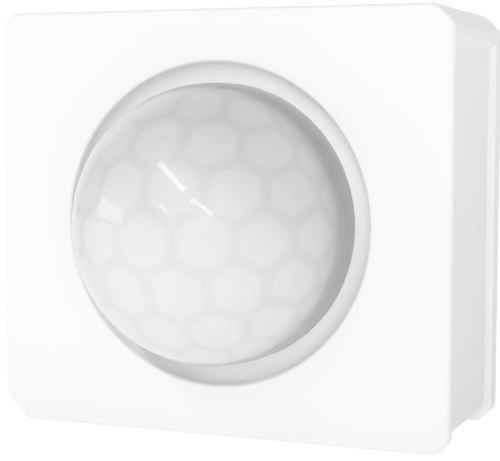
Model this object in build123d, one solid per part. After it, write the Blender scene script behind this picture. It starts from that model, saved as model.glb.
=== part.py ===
from build123d import *
from math import atan2, cos, hypot, pi, radians, sin, sqrt
import os

# Battery-powered infrared motion sensor: a square white case with a honeycomb dome lens in a
# dished recess, and a clip-on rear cover over a coin cell.
# Millimetres. +X is the sensor's right seen from the front, +Y points at its back and +Z is up.
# The origin is on the surface it stands on, under the middle of its width and of its depth.

# ---- case -------------------------------------------------------------------------------------
width = 39.6
height = 35.0
cut_top_left = 1.0            # the straight cut across each corner, seen from the front
cut_top_right = 1.5
cut_bottom_left = 2.1
cut_bottom_right = 1.1
least_cut = 0.3
corner_round = 0.45
front_edge_round = 0.25
wall = 1.2                    # side walls
front_wall = 1.2
plate_lip = 1.0               # front plate that stands out past the recessed sides
side_recess = 0.64            # how far the sides and the bottom are set in behind the plate
recess_below_top = 2.85       # the recess stops this far below the top
recess_rise = 0.35            # slope of the recess's upper end
cover_plate = 2.1
cover_edge_round = 0.25
seam_gap = 0.06
spigot_wall = 0.9
spigot_height = 2.0
spigot_gap = 0.15
bead_length = 8.0
bead_height = 0.5
bead_proud = 0.08
groove_depth = 0.25
groove_gap = 0.3
pry_width = 7.0
pry_depth = 0.7
pad_margin = 5.6
pad_round = 2.0
pad_pocket = 0.4
pad_gap = 0.2
pad_proud = 0.4

# ---- lens -------------------------------------------------------------------------------------
dome_radius = 11.5
facet_wall = 0.9              # lens wall at the middle of a facet
skirt_wall = 0.8
facet_pitch = 23.7            # degrees between the middles of neighbouring facets
facet_reach = 90.0            # degrees from the middle facet to the last one
facet_turn = -4.5             # degrees that the middle facet looks to the left
facet_drop = 3.0              # and down
hole_gap = 0.03
dish_width = 1.7
dish_depth = 1.6
collar_wall = 1.0             # front wall left behind the dish
lens_flange = 1.7             # how far the flange stands out of the skirt
flange_thickness = 0.8
flange_gap = 0.15
rim_wall = 1.0
key_width = 1.8
key_depth = 0.8
key_gap = 0.1
retainer_height = 2.1
retainer_wall = 2.1
retainer_slot = 3.0
retainer_slot_depth = 1.0

# ---- board ------------------------------------------------------------------------------------
board_thickness = 1.0
board_gap = 0.55              # from the board's edge to the walls
board_cut = 1.2
rim_stand_off = 0.5           # from the lens rim to the board
boss_inset = 2.4
boss_radius = 2.0
boss_rib = 0.8
screw_radius = 0.85
screw_length = 5.0
screw_head_radius = 1.6
screw_head_height = 1.1
screw_slot = 0.5
thread_gap = 0.02
screw_clearance = 0.25
pin_radius = 0.7
pin_proud = 0.3
pin_gap = 0.1
antenna_width = 0.5
antenna_thickness = 0.06
antenna_pitch = 1.2
antenna_reach = 2.2
antenna_turns = 7
antenna_inset = 0.4

# ---- infrared detector ------------------------------------------------------------------------
detector_radius = 4.1
detector_height = 4.2         # header and can together
detector_skin = 0.25
header_radius = 4.6
header_thickness = 0.5
header_tab = 1.0
window_width = 4.0
window_height = 3.0
window_lap = 0.35
window_thickness = 0.45
element_width = 2.6
element_height = 2.0
element_thickness = 0.3
element_stand = 1.6
lead_radius = 0.225
lead_circle = 2.54
lead_hole_gap = 0.15
lead_proud = 0.35
spacer_thickness = 0.5
spacer_bore = 1.5

# ---- parts on the board -----------------------------------------------------------------------
chip_gap = 0.5
amplifier_clearance = 0.2
radio_size = 4.0
radio_thickness = 0.85
amplifier_width = 3.9
amplifier_length = 4.9
amplifier_thickness = 1.3
amplifier_stand = 0.15
lead_pitch = 1.27
gull_width = 0.4
gull_thickness = 0.2
gull_reach = 0.75
tantalum_length = 3.5
tantalum_width = 2.8
tantalum_height = 1.9
led_length = 1.6
led_width = 0.8
led_height = 0.6
crystal_length = 3.2
crystal_width = 2.5
crystal_height = 0.7
clock_width = 1.5
clock_height = 0.8
small_length = 1.0            # body of a chip capacitor or resistor, between its end caps
small_cap = 0.3
small_width = 0.8
capacitor_height = 0.8
resistor_height = 0.45
small_pitch = 2.1             # from one chip part to the next

# ---- coin cell and its holder -----------------------------------------------------------------
cell_diameter = 24.5
cell_thickness = 5.0
cell_skin = 0.3
cell_lip = 1.0
cell_cap_step = 0.35
cell_seal = 0.4
cell_edge_round = 0.5
cell_headroom = 1.8
cell_rib_gap = 0.3
cell_rib_radius = 8.0
cell_rib_wall = 0.9
holder_floor = 0.6
holder_wall = 1.0
holder_gap = 0.15
holder_below_cell = 0.6       # the holder's edge is lower than the cell's face
holder_bore = 6.0
finger_gap = 9.0
contact_gap = 0.5             # room under the cell for the spring contact
contact_skin = 0.15
contact_width = 3.6
contact_foot = 1.6
contact_slot_gap = 0.4
contact_clearance = 0.04
tongue_length = 4.5
tongue_width = 1.3

# ---- pairing button and its switch ------------------------------------------------------------
button_radius = 1.7
button_gap = 0.15
button_below_top = 0.15
button_flange = 0.55
button_flange_height = 0.5
button_dimple = 0.25
button_edge_round = 0.2
button_travel = 0.25
button_rest_gap = 0.05        # from the flange to the wall it springs back to
switch_width = 4.5
switch_depth = 1.8            # height off the board
switch_length = 3.2
switch_below_edge = 0.25
switch_gap = 0.3              # to the cell holder
shield_thickness = 0.15
plunger_width = 2.0
plunger_thickness = 0.8
plunger_inside = 1.1
plunger_gap = 0.08
terminal_width = 0.7
terminal_length = 0.6
terminal_thickness = 0.2
terminal_gap = 0.15

# ---- places worked out from those sizes -------------------------------------------------------
body_depth = (dish_depth + collar_wall + flange_thickness + retainer_height + board_thickness
              + holder_floor + contact_gap + cell_thickness + cell_headroom + cover_plate)
total_depth = dome_radius + body_depth + pad_proud
mid_z = height / 2
y_front = dome_radius - total_depth / 2
y_rear = y_front + body_depth
y_parting = y_rear - cover_plate
y_lens_seat = y_front + dish_depth + collar_wall
y_retainer = y_lens_seat + flange_thickness
y_board = y_retainer + retainer_height
y_board_back = y_board + board_thickness
y_holder_floor = y_board_back + holder_floor
y_cell = y_holder_floor + contact_gap
y_cell_back = y_cell + cell_thickness
y_header = y_board - spacer_thickness - header_thickness
y_detector = y_board - spacer_thickness - detector_height

cavity_inset = side_recess + wall
cavity_x = width / 2 - cavity_inset
cavity_z = height / 2 - cavity_inset
board_x = cavity_x - board_gap
board_z = cavity_z - board_gap
boss_x = cavity_x - boss_inset
boss_z = cavity_z - boss_inset
screw_places = [(-boss_x, boss_z), (boss_x, -boss_z)]
pin_places = [(boss_x, boss_z), (-boss_x, -boss_z)]

hole_radius = dome_radius + hole_gap
dish_radius = hole_radius + dish_width
flange_radius = dome_radius + lens_flange
pocket_radius = flange_radius + flange_gap
rim_radius = max(pocket_radius, dish_radius) + rim_wall
skirt_bore = dome_radius - skirt_wall

cell_radius = cell_diameter / 2
holder_bore_radius = cell_radius + holder_gap
holder_radius = holder_bore_radius + holder_wall

switch_top = board_z - button_travel - switch_below_edge - button_flange_height
switch_bottom = switch_top - switch_length
slot_depth = plunger_inside + button_travel + shield_thickness + plunger_gap


def beside_holder(height):
    """How far out a part must start to clear the cell holder, if it is height off the middle."""
    return sqrt(max((holder_radius + switch_gap)**2 - height**2, 0))


switch_x = beside_holder(switch_bottom) + terminal_length + switch_width / 2
y_button = y_board_back + switch_depth / 2
button_bottom = cavity_z - button_rest_gap - button_flange_height
lead_places = [(lead_circle * cos(a), lead_circle * sin(a)) for a in (0, pi / 2, pi)]


# ---- helpers ----------------------------------------------------------------------------------
def slab(sketch, y_start, y_end):
    """A sketch drawn on the front view, about the lens axis, made solid from y_start to y_end."""
    view = Plane(origin=(0, y_start, mid_z), x_dir=(1, 0, 0), z_dir=(0, -1, 0))
    return extrude(view * sketch, amount=y_end - y_start, dir=(0, 1, 0))


def disc(radius, y_start, y_end, x=0, z=0):
    return slab(Pos(x, z) * Circle(radius), y_start, y_end)


def block(size_x, size_z, y_start, y_end, x=0, z=0):
    return slab(Pos(x, z) * Rectangle(size_x, size_z), y_start, y_end)


def turned(points):
    """A closed outline of (radius, y) points, turned about the lens axis."""
    face = make_face(Polyline([(r, y, mid_z) for r, y in points], close=True))
    return revolve(face, Axis((0, 0, mid_z), (0, 1, 0)), 360)


def upright(radius, z_start, z_end):
    """A round bar along Z on the button's axis, with heights counted from the lens axis."""
    bar = Cylinder(radius, z_end - z_start, align=(Align.CENTER, Align.CENTER, Align.MIN))
    return Pos(switch_x, y_button, mid_z + z_start) * bar


def group(solids):
    return Compound(children=[s for part in solids for s in part.solids()])


def case_outline(inset=0.0):
    """The case seen from the front, drawn in by inset all round, with its four corner cuts."""
    half_x, half_z = width / 2 - inset, height / 2 - inset
    points = []
    for sign_x, sign_z, cut in ((1, 1, cut_top_right), (1, -1, cut_bottom_right),
                                (-1, -1, cut_bottom_left), (-1, 1, cut_top_left)):
        left = max(cut - inset * (2 - sqrt(2)), least_cut)
        pair = [(sign_x * (half_x - left), sign_z * half_z),
                (sign_x * half_x, sign_z * (half_z - left))]
        points += pair if sign_x * sign_z > 0 else pair[::-1]
    face = make_face(Polyline(points, close=True))
    return fillet(face.vertices(), min(corner_round, 0.4 * least_cut if inset else corner_round))


# ---- case parts -------------------------------------------------------------------------------
def recess_cutter():
    """What is taken off behind the front plate: both sides and the bottom, up to sloped ends."""
    ceiling = height / 2 - recess_below_top
    out_x, in_x = width / 2 + side_recess, width / 2 - side_recess
    top = ceiling + 2 * recess_rise
    region = Polygon((-out_x, -height), (out_x, -height), (out_x, top), (in_x, ceiling),
                     (-in_x, ceiling), (-out_x, top), align=None)
    y_start, y_end = y_front + plate_lip, y_rear
    return slab(region, y_start, y_end) - slab(case_outline(side_recess), y_start, y_end)


def dish_cutter():
    """The dished recess round the dome: a quarter ellipse from its rim down to the lens hole."""
    rim, floor = (dish_radius, y_front), (hole_radius, y_front + dish_depth)
    arc = EllipticalCenterArc((hole_radius, y_front), dish_width, dish_depth, 0, arc_size=90)
    above = y_front - dish_depth
    edges = [arc, Line(floor, (0, floor[1])), Line((0, floor[1]), (0, above)),
             Line((0, above), (dish_radius, above)), Line((dish_radius, above), rim)]
    profile = Pos(0, 0, mid_z) * make_face(edges)
    return revolve(profile, Axis((0, 0, mid_z), (0, 1, 0)), 360)


def case_bosses():
    """Four pillars that carry the board, each tied to both walls by a rib."""
    y_start = y_front + front_wall / 2
    reach = boss_inset + wall / 2
    parts = []
    for x, z in screw_places + pin_places:
        side, up = (1 if x > 0 else -1), (1 if z > 0 else -1)
        parts.append(disc(boss_radius, y_start, y_board, x, z))
        parts.append(block(reach, boss_rib, y_start, y_board, x + side * reach / 2, z))
        parts.append(block(boss_rib, reach, y_start, y_board, x, z + up * reach / 2))
    for x, z in pin_places:
        parts.append(disc(pin_radius, y_board, y_board_back + pin_proud, x, z))
    return parts


def front_housing():
    body = slab(case_outline(), y_front, y_parting - seam_gap)
    body = fillet(body.faces().sort_by(Axis.Y)[0].edges(), front_edge_round)
    body -= recess_cutter()
    body -= slab(case_outline(cavity_inset), y_front + front_wall, y_parting)
    body += disc(rim_radius, y_front + front_wall / 2, y_board - rim_stand_off)
    for part in case_bosses():
        body += part
    body -= dish_cutter()
    body -= disc(hole_radius, y_front, y_board)
    pocket = disc(pocket_radius, y_lens_seat, y_board)
    key = block(key_width, key_depth + flange_gap, y_lens_seat, y_retainer,
                z=-pocket_radius + (key_depth + flange_gap) / 2)
    body -= pocket - key
    for x, z in screw_places:
        hole = screw_radius + thread_gap
        body -= disc(hole, y_board_back - screw_length - screw_clearance, y_board, x, z)
    body -= upright(button_radius + button_gap, cavity_z - wall, height)
    groove_y = y_parting - spigot_height / 2
    for side in (-1, 1):
        body -= Pos(side * cavity_x, groove_y, mid_z) * Box(
            2 * groove_depth, bead_height + groove_gap, bead_length + groove_gap)
    return body


def rear_cover():
    plate = slab(case_outline(), y_parting, y_rear)
    cover = fillet(plate.faces().sort_by(Axis.Y)[-1].edges(), cover_edge_round)
    y_start = y_parting - spigot_height
    outer = cavity_inset + spigot_gap
    spigot = slab(case_outline(outer), y_start, y_parting)
    cover += spigot - slab(case_outline(outer + spigot_wall), y_start, y_parting)
    y_rib = y_cell_back + cell_rib_gap
    rib = disc(cell_rib_radius, y_rib, y_parting)
    cover += rib - disc(cell_rib_radius - cell_rib_wall, y_rib, y_parting)
    for side in (-1, 1):
        face = side * (width / 2 - outer)
        cover += Pos(face, y_parting - spigot_height / 2, mid_z) * Box(
            2 * bead_proud, bead_height, bead_length)
    cover -= Pos(0, y_parting, 0) * Box(pry_width, pry_depth, 2 * pry_depth)
    pocket = RectangleRounded(width - 2 * pad_margin, height - 2 * pad_margin, pad_round)
    return cover - slab(pocket, y_rear - pad_pocket, y_rear)


def adhesive_pad():
    size_x = width - 2 * pad_margin - 2 * pad_gap
    size_z = height - 2 * pad_margin - 2 * pad_gap
    face = RectangleRounded(size_x, size_z, pad_round - pad_gap)
    return slab(face, y_rear - pad_pocket, y_rear + pad_proud)


# ---- lens parts -------------------------------------------------------------------------------
def facet_directions():
    """Unit vectors of the honeycomb's facets: a triangular net of equal angular steps."""
    tilt = Rotation(facet_drop, 0, facet_turn)
    found = []
    steps = int(facet_reach / facet_pitch) + 2
    for row in range(-steps, steps + 1):
        for column in range(-2 * steps, 2 * steps + 1):
            across = facet_pitch * (column + row / 2)
            along = facet_pitch * row * sqrt(3) / 2
            polar = hypot(across, along)
            if polar > facet_reach:
                continue
            turn = atan2(along, across)
            ring = sin(radians(polar))
            ray = Vector(ring * cos(turn), -cos(radians(polar)), ring * sin(turn))
            found.append((tilt * Pos(ray)).position)
    return found


def fresnel_lens():
    """Half a ball on a short skirt with a flange, hollowed to flat facets on the inside."""
    arc = CenterArc((0, y_front), dome_radius, -90, 90)
    apex = y_front - dome_radius
    edges = [arc, Polyline((dome_radius, y_front), (dome_radius, y_lens_seat),
                           (flange_radius, y_lens_seat), (flange_radius, y_retainer),
                           (0, y_retainer), (0, apex))]
    profile = Pos(0, 0, mid_z) * make_face(edges)
    lens = revolve(profile, Axis((0, 0, mid_z), (0, 1, 0)), 360)
    hollow = disc(skirt_bore, apex, y_retainer)
    cutter = Box(3 * dome_radius, 3 * dome_radius, dome_radius,
                 align=(Align.CENTER, Align.CENTER, Align.MIN))
    centre = Vector(0, y_front, mid_z)
    for ray in facet_directions():
        facet = Plane(origin=centre + ray * (dome_radius - facet_wall), z_dir=ray)
        hollow -= facet * cutter
    lens -= hollow
    notch = key_depth + key_gap
    return lens - block(key_width + 2 * key_gap, 2 * notch, y_lens_seat, y_retainer,
                        z=-flange_radius)


def lens_retainer():
    """Ring that holds the lens flange against its seat, with slots round its board side."""
    inner = flange_radius - retainer_wall
    ring = disc(flange_radius, y_retainer, y_board) - disc(inner, y_retainer, y_board)
    for step in range(3):
        slot = Rot(0, 0, 60 * step) * Rectangle(3 * flange_radius, retainer_slot)
        ring -= slab(slot, y_board - retainer_slot_depth, y_board)
    x, z = amplifier_place
    size_x = amplifier_width + 2 * (gull_reach + amplifier_clearance)
    size_z = amplifier_length + 2 * amplifier_clearance
    depth = amplifier_stand + amplifier_thickness + amplifier_clearance
    return ring - block(size_x, size_z, y_board - depth, y_board, x, z)


# ---- board and detector -----------------------------------------------------------------------
def circuit_board():
    face = chamfer(Rectangle(2 * board_x, 2 * board_z).vertices(), board_cut)
    board = slab(face, y_board, y_board_back)
    for x, z in screw_places:
        board -= disc(screw_radius + screw_clearance, y_board, y_board_back, x, z)
    for x, z in pin_places:
        board -= disc(pin_radius + pin_gap, y_board, y_board_back, x, z)
    for x, z in lead_places:
        board -= disc(lead_radius + lead_hole_gap, y_board, y_board_back, x, z)
    notch = 2 * (button_radius + button_flange + button_gap)
    return board - block(notch, 2 * (board_z - switch_top), y_board, y_board_back,
                         switch_x, board_z)


def antenna_trace():
    """Printed aerial: a square-wave track up the left edge of the board's back."""
    left = -board_x + antenna_inset
    track = []
    for turn in range(antenna_turns):
        z = (turn - (antenna_turns - 1) / 2) * antenna_pitch
        track.append(Pos(left + antenna_reach / 2, z) * Rectangle(antenna_reach, antenna_width))
        if turn < antenna_turns - 1:
            end = antenna_width / 2 if turn % 2 else antenna_reach - antenna_width / 2
            link = Rectangle(antenna_width, antenna_pitch)
            track.append(Pos(left + end, z + antenna_pitch / 2) * link)
    trace = track[0]
    for piece in track[1:]:
        trace += piece
    return slab(trace, y_board_back, y_board_back + antenna_thickness)


def board_screws():
    """Two pan-head screws that hold the board, with a cross slot."""
    screws = []
    for x, z in screw_places:
        y_head = y_board_back + screw_head_height
        screw = disc(screw_head_radius, y_board_back, y_head, x, z)
        screw = fillet(screw.faces().sort_by(Axis.Y)[-1].edges(), screw_head_height / 3)
        screw += disc(screw_radius, y_board_back - screw_length, y_board_back, x, z)
        for size in ((1.2 * screw_head_radius, screw_slot), (screw_slot, 1.2 * screw_head_radius)):
            screw -= block(*size, y_head - screw_head_height / 2, y_head, x, z)
        screws.append(screw)
    return group(screws)


def pir_header():
    tab = Rot(0, 0, 45) * Pos(header_radius, 0) * Rectangle(2 * header_tab, header_tab)
    face = Circle(header_radius) + tab
    header = slab(face, y_header, y_header + header_thickness)
    for x, z in lead_places:
        header -= disc(lead_radius, y_header, y_header + header_thickness, x, z)
    return header


def pir_can():
    can = disc(detector_radius, y_detector, y_header)
    can = fillet(can.faces().sort_by(Axis.Y)[0].edges(), detector_skin)
    can -= disc(detector_radius - detector_skin, y_detector + detector_skin, y_header)
    return can - block(window_width, window_height, y_detector, y_header)


def pir_window():
    size_x, size_z = window_width + 2 * window_lap, window_height + 2 * window_lap
    y_start = y_detector + detector_skin
    return block(size_x, size_z, y_start, y_start + window_thickness)


def pir_element():
    """Sensing chip on its posts inside the can."""
    y_chip = y_header - element_stand
    chip = block(element_width, element_height, y_chip, y_chip + element_thickness)
    for side in (-1, 1):
        post = element_width / 2 - element_thickness
        chip += disc(element_thickness / 2, y_chip, y_header, side * post)
    return chip


def pir_leads():
    return group([disc(lead_radius, y_header, y_board_back + lead_proud, x, z)
                  for x, z in lead_places])


def pir_spacer():
    """Plastic ring under the detector, notched where the leads go through."""
    y_start = y_board - spacer_thickness
    ring = disc(header_radius, y_start, y_board) - disc(spacer_bore, y_start, y_board)
    for x, z in lead_places:
        ring -= disc(lead_radius + lead_hole_gap, y_start, y_board, x, z)
    return ring


# ---- parts on the board -----------------------------------------------------------------------
inner_ring = header_radius + chip_gap       # parts round the detector start here
radio_place = (-(boss_x - pin_radius - chip_gap - radio_size / 2),
               -board_z + radio_size / 2 + chip_gap)
row_z = radio_place[1] + radio_size / 2 + chip_gap + small_width / 2
row_x = -(beside_holder(abs(row_z) - small_width / 2) + small_length / 2 + small_cap)
crystal_place = (-board_x + crystal_width / 2 + chip_gap,
                 row_z + small_width / 2 + chip_gap + crystal_length / 2)
clock_place = (radio_place[0] + radio_size / 2 + crystal_length / 2 + chip_gap,
               -board_z + clock_width / 2 + chip_gap / 2)
amplifier_place = (-(inner_ring + gull_reach + amplifier_width / 2), 0)
tantalum_place = (inner_ring + tantalum_width / 2 + chip_gap, 0)
led_place = (0, inner_ring + led_width / 2 + chip_gap)


def radio_chip():
    x, z = radio_place
    return block(radio_size, radio_size, y_board_back, y_board_back + radio_thickness, x, z)


def main_crystal():
    x, z = crystal_place
    can = block(crystal_width, crystal_length, y_board_back, y_board_back + crystal_height, x, z)
    return fillet(can.faces().sort_by(Axis.Y)[-1].edges(), crystal_height / 4)


def clock_crystal():
    x, z = clock_place
    return block(crystal_length, clock_width, y_board_back, y_board_back + clock_height, x, z)


def amplifier_chip():
    x, z = amplifier_place
    y_face = y_board - amplifier_stand
    body = block(amplifier_width, amplifier_length, y_face - amplifier_thickness, y_face, x, z)
    return chamfer(body.faces().sort_by(Axis.Y)[0].edges(), gull_thickness)


def amplifier_leads():
    """Eight bent leads, four a side."""
    x, z = amplifier_place
    leads = []
    y_out = y_board - amplifier_stand - amplifier_thickness / 2
    for side in (-1, 1):
        edge = x + side * amplifier_width / 2
        for step in range(4):
            row = z + (step - 1.5) * lead_pitch
            knee = edge + side * gull_reach / 2
            lead = block(gull_reach / 2, gull_width, y_out, y_out + gull_thickness,
                         (edge + knee) / 2, row)
            lead += block(gull_thickness, gull_width, y_out, y_board, knee, row)
            lead += block(gull_reach / 2, gull_width, y_board - gull_thickness, y_board,
                          knee + side * gull_reach / 4, row)
            leads.append(lead)
    return group(leads)


def tantalum_capacitor():
    x, z = tantalum_place
    body = block(tantalum_width, tantalum_length, y_board - tantalum_height, y_board, x, z)
    return chamfer(body.faces().sort_by(Axis.Y)[0].edges(), gull_thickness)


def indicator_led():
    x, z = led_place
    lens = block(led_length, led_width, y_board - led_height, y_board, x, z)
    return fillet(lens.faces().sort_by(Axis.Y)[0].edges(), led_height / 4)


def small_places():
    """Rows of chip parts: (x, z, on the back) for the capacitors, then for the resistors."""
    lower = led_place[1]
    capacitors = [(row_x - small_pitch * n, row_z, True) for n in range(2)]
    capacitors += [(clock_place[0] + crystal_length / 2 + chip_gap + small_length
                    + 2 * small_pitch * n, clock_place[1], True) for n in range(3)]
    resistors = [(2 * small_pitch * n, -lower, False) for n in (-1, 0, 1)]
    resistors += [(side * 2 * small_pitch, lower - small_width, False) for side in (-1, 1)]
    return capacitors, resistors


def small_parts(places, tall):
    bodies, caps = [], []
    for x, z, on_back in places:
        low, high = (y_board_back, y_board_back + tall) if on_back else (y_board - tall, y_board)
        bodies.append(block(small_length, small_width, low, high, x, z))
        for side in (-1, 1):
            end = x + side * (small_length + small_cap) / 2
            caps.append(block(small_cap, small_width, low, high, end, z))
    return bodies, caps


# ---- coin cell and its holder -----------------------------------------------------------------
def battery_holder():
    y_edge = y_cell_back - holder_below_cell
    holder = disc(holder_radius, y_board_back, y_edge)
    holder -= disc(holder_bore_radius, y_holder_floor, y_edge)
    holder -= disc(holder_bore, y_board_back, y_holder_floor)
    holder -= block(finger_gap, 3 * holder_radius, y_cell, y_edge)
    slot = contact_width + contact_slot_gap
    reach = holder_wall + holder_gap + cell_lip
    holder -= block(2 * reach, slot, y_board_back, y_edge, -holder_radius)
    return holder - block(2 * reach, slot, y_board_back, y_cell, holder_radius)


def positive_contact():
    """Bent strip: a foot on the board and a leg up the side of the cell."""
    inner = cell_radius + contact_clearance
    mid = -(inner + contact_skin / 2)
    leg = block(contact_skin, contact_width, y_board_back, y_cell_back - holder_below_cell, mid)
    foot = inner + contact_skin / 2 + contact_foot / 2
    return leg + block(contact_foot + contact_skin, contact_width, y_board_back,
                       y_board_back + contact_skin, -foot)


def negative_contact():
    """Spring strip on the holder's floor, with two raised tongues and a foot on the board."""
    y_top = y_holder_floor + contact_skin
    left, right = -(holder_bore + contact_width / 2), holder_radius + contact_foot
    strip = block(right - left, contact_width, y_holder_floor, y_top, (left + right) / 2)
    strip += block(contact_skin, contact_width, y_board_back, y_top, right)
    strip += block(contact_foot, contact_width, y_board_back, y_board_back + contact_skin,
                   right + contact_foot / 2)
    rise = y_cell - contact_clearance - y_holder_floor
    for side in (-1, 1):
        low, high = (0, y_holder_floor), (side * tongue_length, y_holder_floor + rise)
        tongue = Polygon(low, (high[0], high[1] - contact_skin), high, (0, y_top), align=None)
        row = mid_z - side * tongue_width / 2
        strip += Pos(0, 0, row - tongue_width / 2) * extrude(tongue, tongue_width)
    return strip


def cell_can():
    """Positive cup: rear face, side and the lip turned in over the seal."""
    y_lip = y_cell + cell_cap_step
    inner = cell_radius - cell_skin
    can = disc(cell_radius, y_lip, y_cell_back)
    can = fillet(can.faces().sort_by(Axis.Y)[-1].edges(), cell_edge_round)
    can -= disc(inner, y_lip + cell_skin, y_cell_back - cell_skin)
    return can - disc(cell_radius - cell_lip, y_lip, y_lip + cell_skin)


def cell_cap():
    """Negative cup, set inside the can's lip."""
    outer = cell_radius - cell_lip - cell_seal
    y_end = y_cell_back - cell_skin - cell_seal
    cap = disc(outer, y_cell, y_end)
    cap = fillet(cap.faces().sort_by(Axis.Y)[0].edges(), cell_edge_round)
    return cap - disc(outer - cell_skin, y_cell + cell_skin, y_end)


def cell_gasket():
    """Insulating ring between the two cups."""
    y_lip = y_cell + cell_cap_step
    inner = cell_radius - cell_lip - cell_seal
    lip, deep = cell_radius - cell_lip, cell_radius - cell_skin
    y_under = y_lip + cell_skin
    return turned([(inner, y_cell + cell_edge_round), (lip, y_cell + cell_edge_round),
                   (lip, y_under), (deep, y_under), (deep, y_cell_back - cell_skin),
                   (inner, y_cell_back - cell_skin)])


def cell_core():
    """Electrode discs that fill the cell."""
    inner = cell_radius - cell_lip - cell_seal - cell_skin
    return disc(inner, y_cell + cell_skin, y_cell_back - cell_skin)


# ---- pairing button and its switch ------------------------------------------------------------
def pairing_button():
    z_top = height / 2 - button_below_top
    bar = upright(button_radius, button_bottom, z_top)
    bar = fillet(bar.faces().sort_by(Axis.Z)[-1].edges(), button_edge_round)
    bar += upright(button_radius + button_flange, button_bottom,
                   button_bottom + button_flange_height)
    ball = (button_radius**2 / 2 + button_dimple**2) / (2 * button_dimple)
    return bar - Pos(switch_x, y_button, mid_z + z_top + ball - button_dimple) * Sphere(ball)


def switch_slot():
    size_x, size_y = plunger_width + 2 * plunger_gap, plunger_thickness + 2 * plunger_gap
    slot = Box(size_x, size_y, slot_depth, align=(Align.CENTER, Align.CENTER, Align.MAX))
    return Pos(switch_x, y_button, mid_z + switch_top) * slot


def switch_body():
    mid = (switch_top + switch_bottom) / 2
    y_end = y_board_back + switch_depth - shield_thickness
    body = block(switch_width, switch_length, y_board_back, y_end, switch_x, mid)
    return body - switch_slot()


def switch_shield():
    """Steel plate over the switch, with its two sides turned down."""
    mid = (switch_top + switch_bottom) / 2
    y_end = y_board_back + switch_depth
    plate = block(switch_width, switch_length, y_end - shield_thickness, y_end, switch_x, mid)
    side_length = switch_length - 2 * terminal_width - 4 * terminal_gap
    for side in (-1, 1):
        x = switch_x + side * (switch_width + shield_thickness) / 2
        plate += block(shield_thickness, side_length, y_board_back, y_end, x, mid)
    return plate


def switch_terminals():
    """Four solder feet, two out of each side of the switch."""
    mid = (switch_top + switch_bottom) / 2
    x_out = (switch_width + terminal_length) / 2
    z_out = switch_length / 2 - terminal_gap - terminal_width / 2
    return group([block(terminal_length, terminal_width, y_board_back,
                        y_board_back + terminal_thickness, switch_x + x, mid + z)
                  for x in (-x_out, x_out) for z in (-z_out, z_out)])


def switch_plunger():
    length = button_bottom - switch_top + plunger_inside
    bar = Box(plunger_width, plunger_thickness, length,
              align=(Align.CENTER, Align.CENTER, Align.MAX))
    return Pos(switch_x, y_button, mid_z + button_bottom) * bar


def switch_dome():
    """Snap plate at the foot of the switch's slot."""
    plate = Box(plunger_width, plunger_thickness, shield_thickness,
                align=(Align.CENTER, Align.CENTER, Align.MIN))
    return Pos(switch_x, y_button, mid_z + switch_top - slot_depth) * plate


# ---- write one file for each part -------------------------------------------------------------
def main():
    os.makedirs("parts", exist_ok=True)
    capacitor_places, resistor_places = small_places()
    capacitors, capacitor_caps = small_parts(capacitor_places, capacitor_height)
    resistors, resistor_caps = small_parts(resistor_places, resistor_height)
    parts = {
        "front_housing": front_housing(),
        "rear_cover": rear_cover(),
        "adhesive_pad": adhesive_pad(),
        "fresnel_lens": fresnel_lens(),
        "lens_retainer": lens_retainer(),
        "circuit_board": circuit_board(),
        "antenna_trace": antenna_trace(),
        "board_screws": board_screws(),
        "pir_header": pir_header(),
        "pir_can": pir_can(),
        "pir_window": pir_window(),
        "pir_element": pir_element(),
        "pir_leads": pir_leads(),
        "pir_spacer": pir_spacer(),
        "radio_chip": radio_chip(),
        "main_crystal": main_crystal(),
        "clock_crystal": clock_crystal(),
        "amplifier_chip": amplifier_chip(),
        "amplifier_leads": amplifier_leads(),
        "tantalum_capacitor": tantalum_capacitor(),
        "indicator_led": indicator_led(),
        "ceramic_capacitors": group(capacitors),
        "chip_resistors": group(resistors),
        "chip_end_caps": group(capacitor_caps + resistor_caps),
        "battery_holder": battery_holder(),
        "positive_contact": positive_contact(),
        "negative_contact": negative_contact(),
        "cell_can": cell_can(),
        "cell_cap": cell_cap(),
        "cell_gasket": cell_gasket(),
        "cell_core": cell_core(),
        "pairing_button": pairing_button(),
        "switch_body": switch_body(),
        "switch_shield": switch_shield(),
        "switch_terminals": switch_terminals(),
        "switch_plunger": switch_plunger(),
        "switch_dome": switch_dome(),
    }
    for name, shape in parts.items():
        export_step(shape, f"parts/{name}.step")


main()
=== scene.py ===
"""A small white infrared motion sensor: a honeycomb dome lens in a square case with cut corners.

The case, the lens, the rear cover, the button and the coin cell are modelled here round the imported
frame; the board and its parts keep their frame shapes and get their real finishes.
"""
import math

import bmesh
import bpy
from mathutils import Matrix, Vector


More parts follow.
